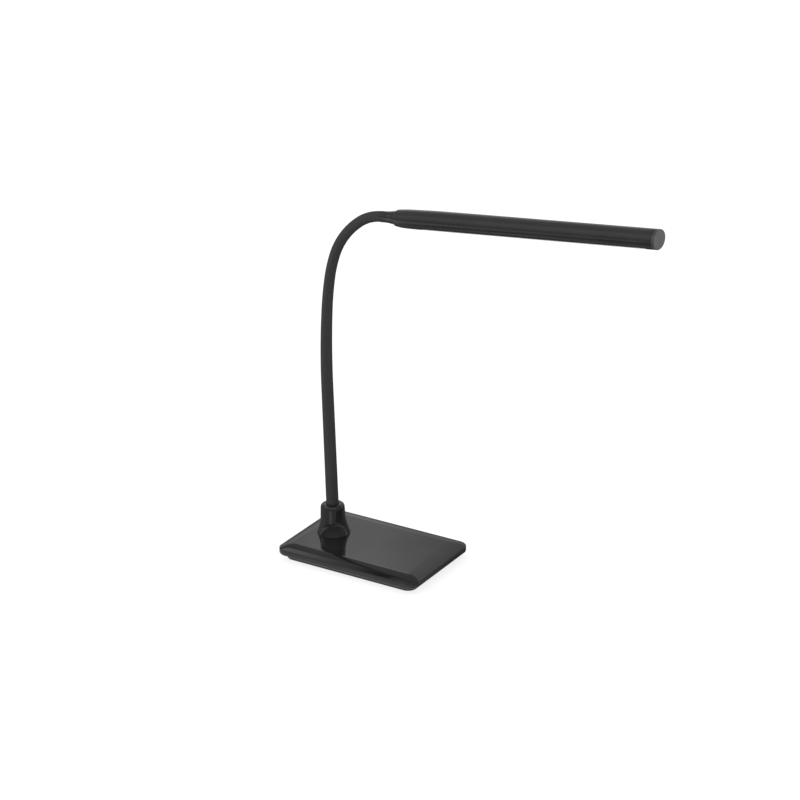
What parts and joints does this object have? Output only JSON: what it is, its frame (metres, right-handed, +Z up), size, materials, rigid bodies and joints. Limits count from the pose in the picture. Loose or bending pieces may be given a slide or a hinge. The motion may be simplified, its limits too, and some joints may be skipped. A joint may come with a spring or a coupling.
{
  "type": "gooseneck desk lamp",
  "caption": "Slim bar lamp head on a bendable gooseneck rising from a flared collar on a low weighted rectangular base.",
  "frame": {"origin": "middle of the underside of the non-slip pad, on the surface that the lamp stands on", "axes": "+X along the base towards the tip of the lamp head, +Y to the back of the base where the cord enters, +Z up"},
  "size_m": [0.3455, 0.1006, 0.3604],
  "materials": {
    "pad_rubber": "matt closed-cell rubber sheet",
    "tray_plastic": "fine moulded texture",
    "tape_foam": "soft foam tape",
    "ballast_steel": "sheared and lightly oiled",
    "gloss_shell": "high gloss moulded black",
    "gloss_collar": "high gloss moulded black",
    "screw_steel": "zinc plated",
    "gland_rubber": "matt moulded rubber",
    "board_laminate": "green solder mask",
    "chip_plastic": "moulded package",
    "terminal_plastic": "moulded connector",
    "contact_brass": "bright turned brass",
    "lead_jacket": "soft vinyl jacket",
    "neck_sleeve": "smooth matt sleeve",
    "core_steel": "wound spring steel",
    "head_plastic": "satin black moulding",
    "opal_diffuser": "milky opal acrylic",
    "cap_plastic": "fine satin dark grey",
    "carrier_aluminium": "mill finish",
    "strip_white": "white solder mask",
    "diode_yellow": "phosphor domes"
  },
  "bodies": {
    "base": {"non_slip_pad": "pad_rubber", "base_tray": "tray_plastic", "ballast_tape": "tape_foam", "ballast_plate": "ballast_steel", "base_cover": "gloss_shell", "tray_screws": "screw_steel", "cord_gland": "gland_rubber", "dimmer_board": "board_laminate", "board_chips": "chip_plastic", "inlet_terminal": "terminal_plastic", "board_screws": "screw_steel", "touch_pillar": "contact_brass", "neck_stud": "contact_brass", "stud_washer": "screw_steel", "stud_nut": "screw_steel", "neck_collar": "gloss_collar", "lead_tail": "lead_jacket", "sleeve_00": "neck_sleeve", "core_00": "core_steel", "lead_00": "lead_jacket"},
    "link_1": {"sleeve_01": "neck_sleeve", "core_01": "core_steel", "lead_01": "lead_jacket"},
    "link_2": {"sleeve_02": "neck_sleeve", "core_02": "core_steel", "lead_02": "lead_jacket"},
    "link_3": {"sleeve_03": "neck_sleeve", "core_03": "core_steel", "lead_03": "lead_jacket"},
    "link_4": {"sleeve_04": "neck_sleeve", "core_04": "core_steel", "lead_04": "lead_jacket"},
    "link_5": {"sleeve_05": "neck_sleeve", "core_05": "core_steel", "lead_05": "lead_jacket"},
    "link_6": {"sleeve_06": "neck_sleeve", "core_06": "core_steel", "lead_06": "lead_jacket"},
    "link_7": {"sleeve_07": "neck_sleeve", "core_07": "core_steel", "lead_07": "lead_jacket"},
    "link_8": {"sleeve_08": "neck_sleeve", "core_08": "core_steel", "lead_08": "lead_jacket"},
    "link_9": {"sleeve_09": "neck_sleeve", "core_09": "core_steel", "lead_09": "lead_jacket"},
    "head": {"sleeve_10": "neck_sleeve", "core_10": "core_steel", "lead_10": "lead_jacket", "head_ferrule": "head_plastic", "head_housing": "head_plastic", "head_diffuser": "opal_diffuser", "head_end_cap": "cap_plastic", "diode_carrier": "carrier_aluminium", "carrier_screws": "screw_steel", "diode_strip": "strip_white", "light_diodes": "diode_yellow"}
  },
  "joints": [
    {"name": "lower_bend", "type": "hinge", "parent": "base", "child": "link_1", "pos_m": [-0.04283, 0, 0.04878], "axis": [0, 1, 0], "range_deg": [-12, 12]},
    {"name": "lower_sway", "type": "hinge", "parent": "link_1", "child": "link_2", "pos_m": [-0.04415, 0, 0.08475], "axis": [0.9993, 0, 0.0366], "range_deg": [-15, 15]},
    {"name": "lower_bend_2", "type": "hinge", "parent": "link_2", "child": "link_3", "pos_m": [-0.04547, 0, 0.12073], "axis": [0, 1, 0], "range_deg": [-12, 12]},
    {"name": "lower_bend_3", "type": "hinge", "parent": "link_3", "child": "link_4", "pos_m": [-0.04679, 0, 0.15671], "axis": [0, 1, 0], "range_deg": [-12, 12]},
    {"name": "lower_sway_2", "type": "hinge", "parent": "link_4", "child": "link_5", "pos_m": [-0.04732, 0, 0.1927], "axis": [1, 0, -0.007], "range_deg": [-15, 15]},
    {"name": "middle_bend", "type": "hinge", "parent": "link_5", "child": "link_6", "pos_m": [-0.04622, 0, 0.22868], "axis": [0, 1, 0], "range_deg": [-12, 12]},
    {"name": "middle_bend_2", "type": "hinge", "parent": "link_6", "child": "link_7", "pos_m": [-0.04322, 0, 0.25852], "axis": [0, 1, 0], "range_deg": [-12, 12]},
    {"name": "upper_bend", "type": "hinge", "parent": "link_7", "child": "link_8", "pos_m": [-0.03762, 0, 0.28182], "axis": [0, 1, 0], "range_deg": [-30, 14]},
    {"name": "upper_sway", "type": "hinge", "parent": "link_8", "child": "link_9", "pos_m": [-0.02747, 0, 0.30124], "axis": [0.8028, 0, -0.5962], "range_deg": [-25, 25]},
    {"name": "upper_bend_2", "type": "hinge", "parent": "link_9", "child": "head", "pos_m": [-0.01203, 0, 0.3168], "axis": [0, 1, 0], "range_deg": [-30, 14]}
  ],
  "couplings": [
    {"joint": "lower_bend_2", "follows": "lower_bend", "ratio": 1},
    {"joint": "lower_bend_3", "follows": "lower_bend", "ratio": 1},
    {"joint": "lower_sway_2", "follows": "lower_sway", "ratio": 1},
    {"joint": "middle_bend_2", "follows": "middle_bend", "ratio": 1},
    {"joint": "upper_bend_2", "follows": "upper_bend", "ratio": 1}
  ]
}
